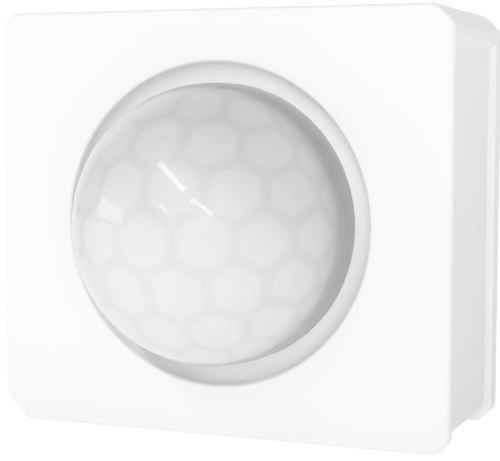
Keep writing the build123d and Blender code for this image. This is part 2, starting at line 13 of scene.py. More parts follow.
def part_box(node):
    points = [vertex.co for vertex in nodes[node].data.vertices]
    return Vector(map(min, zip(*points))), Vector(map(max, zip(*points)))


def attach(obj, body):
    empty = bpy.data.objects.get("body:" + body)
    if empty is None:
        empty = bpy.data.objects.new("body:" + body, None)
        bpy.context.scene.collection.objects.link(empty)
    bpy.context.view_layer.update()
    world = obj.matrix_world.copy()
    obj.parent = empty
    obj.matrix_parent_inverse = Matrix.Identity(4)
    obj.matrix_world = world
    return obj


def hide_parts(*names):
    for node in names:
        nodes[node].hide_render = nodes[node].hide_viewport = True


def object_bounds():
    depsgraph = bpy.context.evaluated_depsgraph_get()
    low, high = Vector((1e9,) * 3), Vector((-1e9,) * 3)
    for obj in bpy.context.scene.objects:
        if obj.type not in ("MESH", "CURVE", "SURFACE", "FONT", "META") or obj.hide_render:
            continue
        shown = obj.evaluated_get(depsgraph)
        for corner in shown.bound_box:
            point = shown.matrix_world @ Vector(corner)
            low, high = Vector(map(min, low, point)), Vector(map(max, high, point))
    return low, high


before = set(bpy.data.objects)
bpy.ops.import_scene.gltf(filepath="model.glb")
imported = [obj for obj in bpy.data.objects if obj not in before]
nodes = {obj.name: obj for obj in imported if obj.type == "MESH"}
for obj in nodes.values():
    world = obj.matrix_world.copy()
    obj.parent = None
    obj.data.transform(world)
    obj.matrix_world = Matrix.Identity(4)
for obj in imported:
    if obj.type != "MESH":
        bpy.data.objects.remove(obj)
cad_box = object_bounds()

MM = 0.001
LENS_TURNS = 256                          # steps round the lens and its dish

# ---- sizes read off the frame -----------------------------------------------------------------
case_low, case_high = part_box("front_housing")
cover_low, cover_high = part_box("rear_cover")
ring_low, ring_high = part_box("lens_retainer")
pad_low, pad_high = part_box("adhesive_pad")
button_low, button_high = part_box("pairing_button")
can_low, can_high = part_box("cell_can")
cap_low, cap_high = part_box("cell_cap")
board_low, board_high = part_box("circuit_board")

WIDTH = case_high.x - case_low.x
HEIGHT = case_high.z - case_low.z
MID_Z = (case_low.z + case_high.z) / 2
FRONT = case_low.y
PARTING = case_high.y
REAR = cover_high.y

# ---- sizes of the mouldings -------------------------------------------------------------------
CUTS = {(-1, 1): 1.0 * MM, (1, 1): 1.5 * MM, (1, -1): 1.1 * MM, (-1, -1): 2.1 * MM}
LEAST_CUT = 0.3 * MM
CORNER_SHARE = 0.55                       # most of a cut's side that its rounding may use
CORNER_ROUND = 1.0 * MM
PLATE_ROUND = 0.42 * MM
EDGE_ROUND = 0.25 * MM
SMALL_ROUND = 0.12 * MM
PLATE_LIP = 1.0 * MM
SIDE_RECESS = 0.64 * MM
RECESS_BELOW_TOP = 2.85 * MM
RECESS_RISE = 0.35 * MM
SIDE_WALL = 1.2 * MM
FRONT_WALL = 1.2 * MM
CAVITY_INSET = SIDE_RECESS + SIDE_WALL

DOME = 11.5 * MM
FACET_WALL = 0.9 * MM
SKIRT_WALL = 0.8 * MM
HOLE = DOME + 0.004 * MM                  # a snug fit, so that no dark line shows round the lens
DISH_WIDTH = 1.7 * MM
DISH_DEPTH = 1.6 * MM
DISH_LEAN = 0.92                          # 1 is a quarter ellipse; less makes its floor flatter
RIM_ROUND = 0.3 * MM
DISH_STEPS = 24
COLLAR = 1.0 * MM
LENS_SEAT = FRONT + DISH_DEPTH + COLLAR
FLANGE = (ring_high.x - ring_low.x) / 2
POCKET = FLANGE + 0.15 * MM
COLLAR_RIM = POCKET + 1.0 * MM
BOARD_FRONT = board_low.y
BOARD_BACK = board_high.y
RIM_STAND_OFF = 0.5 * MM
BOSS_INSET = 2.4 * MM                     # from the cavity's walls to the middle of a boss
BOSS = 2.0 * MM
BOSS_STEPS = 48
PIN = 0.7 * MM
PIN_PROUD = 0.3 * MM
PIN_ROUND = 0.15 * MM
PIN_STEPS = 32

# the six-sided cells: equal angular steps out from the middle cell
CELL_STEP = math.radians(23.7)
CELL_REACH = math.radians(90.0)
CELL_TURN = math.radians(-4.5)
CELL_DROP = math.radians(3.0)
CELL_SHARPNESS = 9.0                      # how tight the corners between cells are, per mm
CELL_FADE = 2.0                           # how far from a border, in mm, the marks still grow

SPIGOT_INSET = CAVITY_INSET + 0.15 * MM
SPIGOT_WALL = 0.9 * MM
RIB = 8.0 * MM
RIB_WALL = 0.9 * MM
RIB_FRONT = can_high.y + 0.3 * MM
PRY_WIDTH = 7.0 * MM
PRY_DEPTH = 0.7 * MM
PAD_POCKET = 0.4 * MM
PAD_GAP = 0.2 * MM
PAD_ROUND = 1.8 * MM
BEAD_LENGTH = 8.0 * MM
BEAD_HEIGHT = 0.5 * MM
BEAD_PROUD = 0.08 * MM

BUTTON = 1.7 * MM
BUTTON_GAP = 0.15 * MM
BUTTON_FLANGE = 0.55 * MM
BUTTON_SHELF = 0.5 * MM
DIMPLE = 0.25 * MM
DIMPLE_MARGIN = 1.4 * EDGE_ROUND
SEAM = 0.06 * MM

CAN_SHOULDER = 0.5 * MM
CAN_LIP = 1.0 * MM
CAN_STEP = 0.05 * MM                      # how far the cell's back is let in
CAN_STEP_OUT = 2.2 * MM                   # from the rim to where that step starts and ends
CAN_STEP_IN = 2.5 * MM
CELL_SKIN = 0.3 * MM
CAP_EDGE = 0.5 * MM

# ---- colours and marks ------------------------------------------------------------------------
CELL_EDGE = "cell_edge"                   # the lens attribute that mark_cell_edges stores
LENS_PALE = "D3D3D3"
LENS_GREY = "CCCCCC"
# painted shade: a darker grey blended into the lens colour towards the case, for the dome's darker
# rim
LENS_RIM_PAINTED_SHADE = "949494"
RIM_PAINTED_SHADE = 0.8                           # how much of the painted rim shade shows at the case
RIM_REACH = 0.48 * DOME                   # how far in front of the case the painted rim shade fades in
MASK_GREEN = "17602F"
TRACK_GREEN = "237A41"
TRACK_PITCH = 0.5 * MM
TANTALUM_YELLOW = "D9A02B"
TANTALUM_BROWN = "5B3512"
BAND_WIDTH = 0.8 * MM

# ---- floor, lights and camera -----------------------------------------------------------------
FLOOR_REACH = 6.0                         # half the floor's side, in metres
FLOOR_GAP = 0.01 * MM
SHEET_WHITE = 1.4                         # how bright the backdrop and the floor are to the eye
FULL_WHITE = 1.25                         # the light level that comes out as pure white
SHOULDER = [(0.32, 0.44), (0.48, 0.68), (0.64, 0.85), (0.80, 0.935)]
GLOW_IN_FRONT = 1.05                      # how strongly the floor lights the object
GLOW_BEHIND = 0.56
GLOW_REACH = 0.6 * HEIGHT
SOFT_LIGHTS = [                           # direction, how narrow, strength
    ((0.38, -0.92, 0.02), 7.0, 2.16),
    ((0, 1, 0), 1.0, 0.96),
    ((0, 0, 1), 1.0, 0.29),
]
LAMP_DISTANCE = 0.6
# A lamp runs between two ends. Each end is a bearing, from straight in front towards +X, and a
# height, both in degrees as seen from the lens. Its width is in degrees too.
STRIP_LAMPS = [                           # name, from, to, width, brightness
    ("long strip, upper part", (-38, 46), (-2.5, 29.5), 3.8, 17.0),
    ("long strip, lower part", (4.5, 23.5), (22, 12), 3.0, 15.0),
    ("short strip", (-21.5, 17.5), (-12, 11.5), 2.0, 12.0),
    ("left softbox", (-82.5, 8.5), (-53, 4.5), 9.0, 4.5),
    ("small lamp", (4.5, -7.5), (6.5, -9), 1.6, 15.0),
]
CAMERA_PLACE = Vector((47.47 * MM, FRONT - 109.4 * MM, MID_Z + 8.95 * MM))
CAMERA_TURN = math.radians(22.05)
CAMERA_DIP = math.radians(4.52)
CAMERA_ROLL = math.radians(0.18)
CAMERA_LENS = 105.76                      # in mm, on a sensor 36 mm wide
SENSOR_WIDTH = 36
NEAREST, FURTHEST = 0.005, 50             # what the camera sees between, in metres

MERGE = 1e-6                              # points nearer than this, in metres, are one
EXTRA = 1.0 * MM                          # how far a cutter runs past what it cuts


# ---- shaping ----------------------------------------------------------------------------------
def as_object(name, bm):
    """A new object at the origin from a bmesh, with its faces pointing outwards."""
    bmesh.ops.remove_doubles(bm, verts=bm.verts, dist=MERGE)
    bmesh.ops.recalc_face_normals(bm, faces=bm.faces)
    mesh = bpy.data.meshes.new(name)
    bm.to_mesh(mesh)
    bm.free()
    made = bpy.data.objects.new(name, mesh)
    bpy.context.scene.collection.objects.link(made)
    return made


def combine(base, other, how):
    """Joins or cuts base with other and removes other."""
    step = base.modifiers.new(how, "BOOLEAN")
    step.operation, step.solver, step.object = how, "EXACT", other
    graph = bpy.context.evaluated_depsgraph_get()
    shaped = bpy.data.meshes.new_from_object(base.evaluated_get(graph))
    base.modifiers.clear()
    base.data = shaped
    bpy.data.objects.remove(other)
    bm = bmesh.new()
    bm.from_mesh(shaped)
    bmesh.ops.remove_doubles(bm, verts=bm.verts, dist=MERGE)
    bm.to_mesh(shaped)
    bm.free()
    return base


def soften(made, width, chosen=lambda edge: True, steps=3, angle=40):
    """Rounds the sharp edges that chosen picks."""
    bm = bmesh.new()
    bm.from_mesh(made.data)
    bmesh.ops.remove_doubles(bm, verts=bm.verts, dist=MERGE)
    bmesh.ops.dissolve_limit(bm, angle_limit=math.radians(0.2), verts=bm.verts, edges=bm.edges)
    sharp = [e for e in bm.edges if e.calc_face_angle(0) > math.radians(angle) and chosen(e)]
    bmesh.ops.bevel(bm, geom=sharp, offset=width, offset_type="OFFSET", segments=steps,
                    profile=0.5, affect="EDGES", clamp_overlap=True, material=-1)
    bm.to_mesh(made.data)
    bm.free()


def settle(made, body, material, replaced=(), smooth=35):
    """Last steps for a finished piece: shading, finish, body and the frame node it stands for."""
    made.data.materials.clear()
    made.data.materials.append(material)
    made.data.polygons.foreach_set("use_smooth", [True] * len(made.data.polygons))
    made.data.set_sharp_from_angle(angle=math.radians(smooth))
    made.modifiers.new("even shading", "WEIGHTED_NORMAL").keep_sharp = True
    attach(made, body)
    for node in replaced:
        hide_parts(node)


def case_slab(name, inset, start, end, front_round=0, back_round=0):
    """The case's outline, drawn in by inset, from one depth to another."""
    bm = bmesh.new()
    bmesh.ops.create_grid(bm, x_segments=1, y_segments=1, size=0.5)
    bmesh.ops.scale(bm, vec=(WIDTH - 2 * inset, HEIGHT - 2 * inset, 1), verts=bm.verts)
    left = {corner: max(cut - inset * (2 - math.sqrt(2)), LEAST_CUT)
            for corner, cut in CUTS.items()}
    for (side, up), cut in left.items():
        corner = [v for v in bm.verts if v.co.x * side > 0 and v.co.y * up > 0]
        bmesh.ops.bevel(bm, geom=corner, offset=cut, offset_type="OFFSET", segments=1,
                        profile=0.5, affect="VERTICES", material=-1)
    reach = min(CORNER_ROUND * math.tan(math.pi / 8), CORNER_SHARE * min(left.values()))
    bmesh.ops.bevel(bm, geom=bm.verts[:], offset=reach, offset_type="OFFSET", segments=6,
                    profile=0.5, affect="VERTICES", material=-1)
    return stand_and_thicken(name, bm, start, end, front_round, back_round)


def stand_and_thicken(name, bm, start, end, front_round=0, back_round=0, x=0, z=0):
    """Turns a flat outline to face the front, thickens it and rounds its front and back edges."""
    bmesh.ops.rotate(bm, matrix=Matrix.Rotation(math.pi / 2, 3, "X"), verts=bm.verts)
    bmesh.ops.translate(bm, vec=(x, start, MID_Z + z), verts=bm.verts)
    grown = bmesh.ops.extrude_face_region(bm, geom=bm.faces[:], use_keep_orig=True)
    far = [v for v in grown["geom"] if isinstance(v, bmesh.types.BMVert)]
    bmesh.ops.translate(bm, vec=(0, end - start, 0), verts=far)
    bmesh.ops.recalc_face_normals(bm, faces=bm.faces)
    for depth, size in ((start, front_round), (end, back_round)):
        if size:
            ring = [e for e in bm.edges if all(abs(v.co.y - depth) < MERGE for v in e.verts)]
            bmesh.ops.bevel(bm, geom=ring, offset=size, offset_type="OFFSET", segments=4,
                            profile=0.5, affect="EDGES", material=-1)
    return as_object(name, bm)


def block(name, size, centre):
    """A plain block of a size about a centre."""
    bm = bmesh.new()
    bmesh.ops.create_cube(bm, size=1)
    bmesh.ops.scale(bm, vec=size, verts=bm.verts)
    bmesh.ops.translate(bm, vec=centre, verts=bm.verts)
    return as_object(name, bm)


def rounded_slab(name, size_x, size_z, corner, start, end, edge=0):
    """A flat pad with rounded corners and a softened outline on both faces."""
    bm = bmesh.new()
    bmesh.ops.create_grid(bm, x_segments=1, y_segments=1, size=0.5)
    bmesh.ops.scale(bm, vec=(size_x, size_z, 1), verts=bm.verts)
    bmesh.ops.bevel(bm, geom=bm.verts[:], offset=corner, offset_type="OFFSET", segments=10,
                    profile=0.5, affect="VERTICES", material=-1)
    return stand_and_thicken(name, bm, start, end, edge, edge)


def spun(name, outline, turns=LENS_TURNS, x=0, y=0, z=MID_Z, axis="Y"):
    """A closed outline of (radius, height) points spun about an axis along Y or Z."""
    bm = bmesh.new()
    if axis == "Y":
        ring = [bm.verts.new((x + r, y + h, z)) for r, h in outline]
    else:
        ring = [bm.verts.new((x + r, y, z + h)) for r, h in outline]
    for here, there in zip(ring, ring[1:] + ring[:1]):
        bm.edges.new((here, there))
    direction = (0, 1, 0) if axis == "Y" else (0, 0, 1)
    bmesh.ops.spin(bm, geom=bm.verts[:] + bm.edges[:], cent=(x, y, z), axis=direction,
                   angle=2 * math.pi, steps=turns, use_merge=True)
    bmesh.ops.remove_doubles(bm, verts=bm.verts, dist=MERGE)
    bmesh.ops.delete(bm, geom=[e for e in bm.edges if e.is_wire], context="EDGES")
    return as_object(name, bm)


def arc(centre, size_r, size_h, start, end, steps):
    """Points of (radius, height) on an arc or a stretch of an ellipse, by angle in degrees."""
    turns = [math.radians(start + (end - start) * n / steps) for n in range(steps + 1)]
    return [(centre[0] + size_r * math.cos(t), centre[1] + size_h * math.sin(t)) for t in turns]


# ---- finishes ---------------------------------------------------------------------------------
def linear(code):
    """A linear colour from an sRGB hex code."""
    parts = [int(code[i:i + 2], 16) / 255 for i in (0, 2, 4)]
    return [p / 12.92 if p <= 0.04045 else ((p + 0.055) / 1.055) ** 2.4 for p in parts] + [1.0]


def add(tree, kind, inputs=None, **settings):
    """Adds a shader node; inputs holds values, colours or other nodes' sockets."""
    node = tree.nodes.new("ShaderNode" + kind)
    for name, value in settings.items():
        setattr(node, name, value)
    for name, value in (inputs or {}).items():
        if isinstance(value, bpy.types.NodeSocket):
            tree.links.new(value, node.inputs[name])
        else:
            node.inputs[name].default_value = value
    return node


def finish(name, colour, roughness, metallic=0.0, **sockets):
    """A new material, its node tree, its main shader and its Object coordinates."""
    made = bpy.data.materials.new(name)
    made.use_nodes = True
    tree = made.node_tree
    shader = tree.nodes["Principled BSDF"]
    shader.inputs["Base Color"].default_value = linear(colour)
    shader.inputs["Roughness"].default_value = roughness
    shader.inputs["Metallic"].default_value = metallic
    for socket, value in sockets.items():
        shader.inputs[socket.replace("_", " ")].default_value = value
    place = add(tree, "TexCoord").outputs["Object"]
    return made, tree, shader, place


def grain(tree, shader, place, size, height, detail=2.0):
    """Fine even roughness of the surface: grains of size, height deep, both in metres."""
    noise = add(tree, "TexNoise", {"Vector": place, "Scale": 1 / size, "Detail": detail})
    bump = add(tree, "Bump", {"Height": noise.outputs["Fac"], "Strength": 1.0, "Distance": height})
    tree.links.new(bump.outputs["Normal"], shader.inputs["Normal"])
    return noise.outputs["Fac"]


def mottle(tree, shader, place, size, light, dark):
    """Slow drift of colour across the surface between two hex colours."""
    noise = add(tree, "TexNoise", {"Vector": place, "Scale": 1 / size, "Detail": 3.0})
    ramp = add(tree, "ValToRGB", {"Fac": noise.outputs["Fac"]})
    for stop, position, code in zip(ramp.color_ramp.elements, (0.35, 0.65), (dark, light)):
        stop.position, stop.color = position, linear(code)
    tree.links.new(ramp.outputs["Color"], shader.inputs["Base Color"])


def moulded_abs(name, light, dark, roughness=0.42):
    """White ABS from a spark-eroded mould: an even satin with a grain too fine to feel."""
    made, tree, shader, place = finish(name, light, roughness, IOR=1.54)
    mottle(tree, shader, place, 9 * MM, light, dark)
    # the real grain is about 0.03 mm, drawn four times as coarse so that it shows
    grain(tree, shader, place, 0.12 * MM, 0.0035 * MM)
    return made


def milky_polythene():
    """Milky lens-grade polythene: a smooth outside, with the flat cells inside showing through
    as paler six-sided patches between soft grey borders, where the wall is thinner. A darker
    grey blended in by depth towards the case is painted shade for the dome's darker rim."""
    made, tree, shader, place = finish("milky polythene", LENS_PALE, 0.36, IOR=1.52,
                                       Specular_IOR_Level=0.3, Subsurface_Weight=0.3,
                                       Coat_Weight=0.45, Coat_Roughness=0.05)
    shader.inputs["Subsurface Radius"].default_value = (1.2 * MM, 1.2 * MM, 1.25 * MM)
    shader.inputs["Subsurface Scale"].default_value = 1.0
    edge = add(tree, "Attribute", attribute_name=CELL_EDGE).outputs["Fac"]
    blot = add(tree, "TexNoise", {"Vector": place, "Scale": 1 / (2.5 * MM), "Detail": 2.0})
    wander = add(tree, "MapRange", {"Value": blot.outputs["Fac"], "To Min": -0.09, "To Max": 0.09})
    moved = add(tree, "Math", {0: edge, 1: wander.outputs["Result"]}, operation="ADD")
    ramp = add(tree, "ValToRGB", {"Fac": moved.outputs["Value"]})
    ramp.color_ramp.interpolation = "EASE"
    low, high = ramp.color_ramp.elements
    low.position, low.color = 0.08, linear(LENS_GREY)
    high.position, high.color = 0.72, linear(LENS_PALE)
    # painted shade: the lens colour turns to a darker grey by depth near the case, standing in for
    # the rim's shade
    depth = add(tree, "SeparateXYZ", {"Vector": place}).outputs["Y"]
    rim = add(tree, "MapRange", {"Value": depth, "From Min": FRONT - RIM_REACH, "From Max": FRONT,
                                 "To Min": 0.0, "To Max": RIM_PAINTED_SHADE},
              interpolation_type="SMOOTHSTEP")
    painted_rim_shade = add(tree, "Mix", {0: rim.outputs["Result"], 6: ramp.outputs["Color"],
                               7: linear(LENS_RIM_PAINTED_SHADE)}, data_type="RGBA")
    tree.links.new(painted_rim_shade.outputs[2], shader.inputs["Base Color"])
    return made


def plain_polymer(name, light, dark, roughness, size=4 * MM, grain_size=0.1 * MM,
                  height=0.003 * MM):
    """An opaque polymer or glaze with a slow drift of tone and a fine mould grain."""
    made, tree, shader, place = finish(name, light, roughness, IOR=1.5)
    mottle(tree, shader, place, size, light, dark)
    grain(tree, shader, place, grain_size, height)
    return made


def drawn_metal(name, light, dark, roughness=0.3, along="X", line=0.06 * MM):
    """Strip or wire metal with faint lines along the way it was drawn."""
    made, tree, shader, place = finish(name, light, roughness, metallic=1.0)
    stretch = {"X": (0.04, 1, 1), "Y": (1, 0.04, 1), "Z": (1, 1, 0.04)}[along]
    drawn = add(tree, "Mapping", {"Vector": place, "Scale": stretch}).outputs["Vector"]
    mottle(tree, shader, drawn, 1.2 * MM, light, dark)
    lines = grain(tree, shader, drawn, line, 0.0015 * MM, 4.0)
    gloss = add(tree, "MapRange", {"Value": lines, "To Min": roughness - 0.08,
                                   "To Max": roughness + 0.1})
    tree.links.new(gloss.outputs["Result"], shader.inputs["Roughness"])
    return made


def turned_steel(name, light, dark, middle, roughness=0.24):
    """Stamped stainless steel of the cell: fine rings about its middle."""
    made, tree, shader, place = finish(name, light, roughness, metallic=1.0)
    centred = add(tree, "Mapping", {"Vector": place, "Location": [-c for c in middle]})
    spread = add(tree, "VectorMath", {0: centred.outputs["Vector"], 1: (1, 0, 1)},
                 operation="MULTIPLY")
    radius = add(tree, "VectorMath", {0: spread.outputs["Vector"]}, operation="LENGTH")
    rings = add(tree, "TexNoise", {"W": radius.outputs["Value"], "Scale": 1 / (0.08 * MM),
                                   "Detail": 3.0}, noise_dimensions="1D")
    bump = add(tree, "Bump", {"Height": rings.outputs["Fac"], "Strength": 1.0,
                              "Distance": 0.0012 * MM})
    tree.links.new(bump.outputs["Normal"], shader.inputs["Normal"])
    mottle(tree, shader, place, 5 * MM, light, dark)
    return made


def solder_masked_board():
    """Epoxy-glass board under green solder mask: patches of parallel copper tracks, some level
    and some upright, stand a hair proud and show paler between plain poured areas."""
    made, tree, shader, place = finish("solder-masked board", MASK_GREEN, 0.28, IOR=1.5,
                                       Coat_Weight=0.3, Coat_Roughness=0.15)
    patches = add(tree, "TexVoronoi", {"Vector": place, "Scale": 1 / (3.4 * MM)},
                  distance="CHEBYCHEV").outputs["Color"]
    kind = add(tree, "SeparateXYZ", {"Vector": patches}).outputs["X"]
    # a wave repeats every 2 pi / (20 * scale), so this draws one track every TRACK_PITCH
    repeat = 2 * math.pi / (20 * TRACK_PITCH)
    level = add(tree, "TexWave", {"Vector": place, "Scale": repeat}, bands_direction="Z")
    upright = add(tree, "TexWave", {"Vector": place, "Scale": repeat}, bands_direction="X")
    turned = add(tree, "Math", {0: kind, 1: 0.35}, operation="GREATER_THAN").outputs["Value"]
    poured = add(tree, "Math", {0: kind, 1: 0.66}, operation="GREATER_THAN").outputs["Value"]
    lines = add(tree, "Mix", {0: turned, 2: level.outputs["Fac"], 3: upright.outputs["Fac"]},
                data_type="FLOAT").outputs[0]
    copper = add(tree, "Mix", {0: poured, 2: lines, 3: 0.5}, data_type="FLOAT").outputs[0]
    ramp = add(tree, "ValToRGB", {"Fac": copper})
    low, high = ramp.color_ramp.elements
    low.position, low.color = 0.42, linear(MASK_GREEN)
    high.position, high.color = 0.62, linear(TRACK_GREEN)
    tree.links.new(ramp.outputs["Color"], shader.inputs["Base Color"])
    bump = add(tree, "Bump", {"Height": copper, "Strength": 1.0, "Distance": 0.02 * MM})
    tree.links.new(bump.outputs["Normal"], shader.inputs["Normal"])
    return made


def banded_tantalum(band_edge):
    """Yellow tantalum block with the brown polarity band across one end."""
    made, tree, shader, place = finish("tantalum epoxy", TANTALUM_YELLOW, 0.38, IOR=1.52)
    height = add(tree, "SeparateXYZ", {"Vector": place}).outputs["Z"]
    above = add(tree, "Math", {0: height, 1: band_edge}, operation="GREATER_THAN")
    ramp = add(tree, "ValToRGB", {"Fac": above.outputs["Value"]})
    low, high = ramp.color_ramp.elements
    low.color, high.color = linear(TANTALUM_YELLOW), linear(TANTALUM_BROWN)
    tree.links.new(ramp.outputs["Color"], shader.inputs["Base Color"])
    grain(tree, shader, place, 0.09 * MM, 0.004 * MM)
    return made


def clear_resin():
    """Water-clear LED resin over its yellow phosphor."""
    made, tree, shader, place = finish("led resin", "F2E9B8", 0.12, IOR=1.5,
                                       Transmission_Weight=0.35, Coat_Weight=0.5)
    mottle(tree, shader, place, 0.8 * MM, "F7F3DA", "E8C94A")
    return made


def dark_filter():
    """Coated silicon window of the detector: almost black, mirror smooth, faintly brown."""
    made, tree, shader, place = finish("infrared filter", "17120F", 0.08, IOR=1.9,
                                       Coat_Weight=0.6, Coat_Roughness=0.03)
    mottle(tree, shader, place, 2 * MM, "1D1613", "100D0C")
    return made


def closed_cell_foam():
    """Grey acrylic foam of the pad: a smooth tacky face with tiny closed cells in its edge."""
    made, tree, shader, place = finish("acrylic foam", "B9BBBC", 0.62, IOR=1.47)
    mottle(tree, shader, place, 1.1 * MM, "BDBFC0", "B3B5B6")
    cells = add(tree, "TexVoronoi", {"Vector": place, "Scale": 1 / (0.28 * MM)})
    bump = add(tree, "Bump", {"Height": cells.outputs["Distance"], "Strength": 1.0,
                              "Distance": 0.02 * MM})
    tree.links.new(bump.outputs["Normal"], shader.inputs["Normal"])
    return made


# ---- pieces -----------------------------------------------------------------------------------
def cell_directions():
    """Unit vectors to the middles of the lens's cells, in equal angular steps."""
    lean = Matrix.Rotation(CELL_TURN, 3, "Z") @ Matrix.Rotation(CELL_DROP, 3, "X")
    steps = int(CELL_REACH / CELL_STEP) + 2
    found = []
    for row in range(-steps, steps + 1):
        for column in range(-2 * steps, 2 * steps + 1):
            across = CELL_STEP * (column + row / 2)
            along = CELL_STEP * row * math.sqrt(3) / 2
            polar, turn = math.hypot(across, along), math.atan2(along, across)
            if polar <= CELL_REACH:
                ring = math.sin(polar)
                ray = Vector((ring * math.cos(turn), -math.cos(polar), ring * math.sin(turn)))
                found.append(lean @ ray)
    return found


def mark_cell_edges(lens, rays):
    """Stores how far each point of the lens is from the nearest borders between cells, in mm,
    blended where borders meet so that the cells have rounded corners."""
    centre = Vector((0, FRONT, MID_Z))
    marks = []
    for vertex in lens.data.vertices:
        towards = (vertex.co - centre).normalized()
        angles = sorted(math.acos(min(1, towards.dot(ray))) for ray in rays)[:5]
        gaps = [(angle - angles[0]) / 2 * DOME / MM for angle in angles[1:]]
        blended = sum(math.exp(-CELL_SHARPNESS * gap) for gap in gaps)
        marks.append(min(CELL_FADE, max(0.0, -math.log(blended) / CELL_SHARPNESS)))
    stored = lens.data.attributes.new(CELL_EDGE, "FLOAT", "POINT")
    stored.data.foreach_set("value", marks)


def dome_lens():
    """Half a ball on a flanged skirt, smooth outside and cut to flat cells inside."""
    outline = (arc((0, FRONT), DOME, DOME, -90, 0, 72)
               + [(DOME, LENS_SEAT), (FLANGE, LENS_SEAT), (FLANGE, ring_low.y), (0, ring_low.y)])
    lens = spun("dome_lens", outline)
    hollow = bmesh.new()
    depth = DOME + ring_low.y - FRONT + EXTRA
    bmesh.ops.create_cone(hollow, cap_ends=True, segments=96, radius1=DOME - SKIRT_WALL,
                          radius2=DOME - SKIRT_WALL, depth=depth)
    bmesh.ops.rotate(hollow, matrix=Matrix.Rotation(math.pi / 2, 3, "X"), verts=hollow.verts)
    bmesh.ops.translate(hollow, vec=(0, ring_low.y + EXTRA - depth / 2, MID_Z),
                        verts=hollow.verts)
    rays = cell_directions()
    centre = Vector((0, FRONT, MID_Z))
    for ray in rays:
        everything = hollow.verts[:] + hollow.edges[:] + hollow.faces[:]
        cut = bmesh.ops.bisect_plane(hollow, geom=everything, clear_outer=True, plane_no=ray,
                                     plane_co=centre + ray * (DOME - FACET_WALL))
        rim = [e for e in cut["geom_cut"] if isinstance(e, bmesh.types.BMEdge)]
        if rim:
            bmesh.ops.holes_fill(hollow, edges=rim)
    combine(lens, as_object("lens hollow", hollow), "DIFFERENCE")
    mark_cell_edges(lens, rays)
    return lens


def dish_cutter():
    """What is taken out round the lens: the dish with its rounded rim, the hole and the seat."""
    rim = HOLE + DISH_WIDTH
    above = FRONT - EXTRA
    start = math.degrees(math.asin((RIM_ROUND / DISH_DEPTH) ** (1 / DISH_LEAN)))
    turns = [math.radians(start + (90 - start) * n / DISH_STEPS) for n in range(DISH_STEPS + 1)]
    bowl = [(HOLE + DISH_WIDTH * math.cos(t) ** DISH_LEAN,
             FRONT + DISH_DEPTH * math.sin(t) ** DISH_LEAN) for t in turns]
    outline = ([(0, above), (rim + RIM_ROUND, above)]
               + arc((rim + RIM_ROUND, FRONT + RIM_ROUND), RIM_ROUND, RIM_ROUND, -90, -180, 6)
               + bowl
               + [(HOLE, LENS_SEAT), (POCKET, LENS_SEAT), (POCKET, BOARD_BACK),
                  (0, BOARD_BACK)])
    return spun("dish cutter", outline)


def recess_cutter():
    """What is taken off both sides and the bottom behind the front plate."""
    start, end = FRONT + PLATE_LIP, PARTING + EXTRA
    ceiling = HEIGHT / 2 - RECESS_BELOW_TOP
    out = WIDTH / 2 + SIDE_RECESS
    inner = WIDTH / 2 - SIDE_RECESS
    top = ceiling + 2 * RECESS_RISE
    bm = bmesh.new()
    corners = [(-out, -HEIGHT), (out, -HEIGHT), (out, top), (inner, ceiling),
               (-inner, ceiling), (-out, top)]
    bm.faces.new([bm.verts.new((x, z, 0)) for x, z in corners])
    around = stand_and_thicken("recess cutter", bm, start, end)
    return combine(around, case_slab("kept", SIDE_RECESS, start - EXTRA, end + EXTRA),
                   "DIFFERENCE")


def front_case():
    """The case moulding: plate with cut corners, recessed sides, lens dish, collar and bosses."""
    made = case_slab("front_case", 0, FRONT, PARTING, front_round=PLATE_ROUND)
    combine(made, recess_cutter(), "DIFFERENCE")
    combine(made, case_slab("cavity", CAVITY_INSET, FRONT + FRONT_WALL, PARTING + EXTRA),
            "DIFFERENCE")
    behind_plate = FRONT + 1.2 * PLATE_ROUND
    soften(made, SMALL_ROUND, chosen=lambda e: max(v.co.y for v in e.verts) > behind_plate)
    inside = FRONT + FRONT_WALL / 2
    collar_end = BOARD_FRONT - RIM_STAND_OFF
    collar = spun("collar", [(0, inside), (COLLAR_RIM, inside), (COLLAR_RIM, collar_end),
                             (0, collar_end)])
    combine(made, collar, "UNION")
    out = WIDTH / 2 - CAVITY_INSET - BOSS_INSET
    up = HEIGHT / 2 - CAVITY_INSET - BOSS_INSET
    for x, z, pinned in ((out, up, True), (-out, -up, True), (-out, up, False), (out, -up, False)):
        boss = spun("boss", [(0, inside), (BOSS, inside), (BOSS, BOARD_FRONT), (0, BOARD_FRONT)],
                    turns=BOSS_STEPS, x=x, z=MID_Z + z)
        combine(made, boss, "UNION")
        if pinned:
            top = BOARD_BACK + PIN_PROUD
            tip = arc((PIN - PIN_ROUND, top - PIN_ROUND), PIN_ROUND, PIN_ROUND, 0, 90, 4)
            pin = spun("pin", [(0, inside)] + tip + [(0, top)], turns=PIN_STEPS, x=x, z=MID_Z + z)
            combine(made, pin, "UNION")
    combine(made, dish_cutter(), "DIFFERENCE")
    middle = (button_low + button_high) / 2
    bore = BUTTON + BUTTON_GAP
    hole = spun("button hole", [(0, 0), (bore, 0), (bore, HEIGHT), (0, HEIGHT)], turns=64,
                x=middle.x, y=middle.y, z=MID_Z, axis="Z")
    combine(made, hole, "DIFFERENCE")
    return made


def button_cap():
    """The pairing button: a round pad with a shallow finger dimple, on a flange."""
    middle = (button_low + button_high) / 2
    low, high = button_low.z, button_high.z
    flange, shelf = BUTTON + BUTTON_FLANGE, low + BUTTON_SHELF
    outline = ([(0, low), (flange, low), (flange, shelf), (BUTTON, shelf)]
               + arc((BUTTON - EDGE_ROUND, high - EDGE_ROUND), EDGE_ROUND, EDGE_ROUND, 0, 90, 6)
               + dimple(BUTTON - DIMPLE_MARGIN, high))
    return spun("button_cap", outline, turns=96, x=middle.x, y=middle.y, z=0, axis="Z")


def dimple(radius, height, steps=12):
    """Points across a shallow round dimple, from its edge to its middle."""
    across = [radius * (1 - n / steps) for n in range(steps + 1)]
    return [(r, height - DIMPLE * (1 + math.cos(math.pi * r / radius)) / 2) for r in across]


